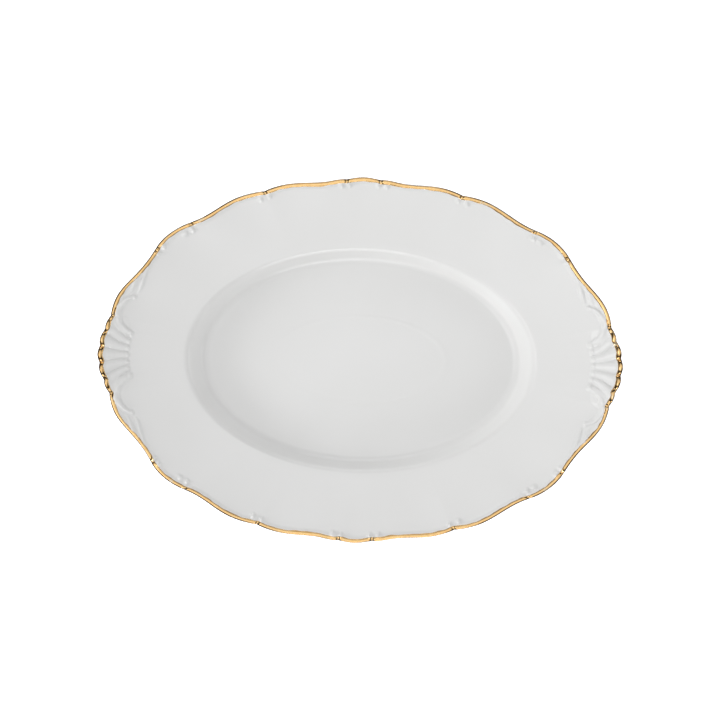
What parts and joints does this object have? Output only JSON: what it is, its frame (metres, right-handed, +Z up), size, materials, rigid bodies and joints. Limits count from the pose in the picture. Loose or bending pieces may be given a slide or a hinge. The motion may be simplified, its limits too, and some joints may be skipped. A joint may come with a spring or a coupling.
{
  "type": "serving platter",
  "caption": "Oval porcelain serving platter with a scalloped gilt rim, a moulded shell between scrolls at each end, and a deep flat-floored well on a foot ring.",
  "frame": {"origin": "on the table, under the middle of the platter", "axes": "+X along the platter's length from shell to shell, +Y across its width, +Z up from the table"},
  "size_m": [0.34, 0.2372, 0.0302],
  "materials": {
    "glazed_porcelain": "high-gloss clear glaze over hard white porcelain",
    "burnished_gold": "fired bright gold, painted by hand and lightly rubbed",
    "unglazed_foot": "glazed sides with a matt biscuit tread, faintly grey from use"
  },
  "bodies": {
    "root": {"porcelain_body": "glazed_porcelain", "gilt_rim_band": "burnished_gold", "outer_foot_ring": "unglazed_foot", "inner_foot_ring": "unglazed_foot"}
  },
  "joints": []
}
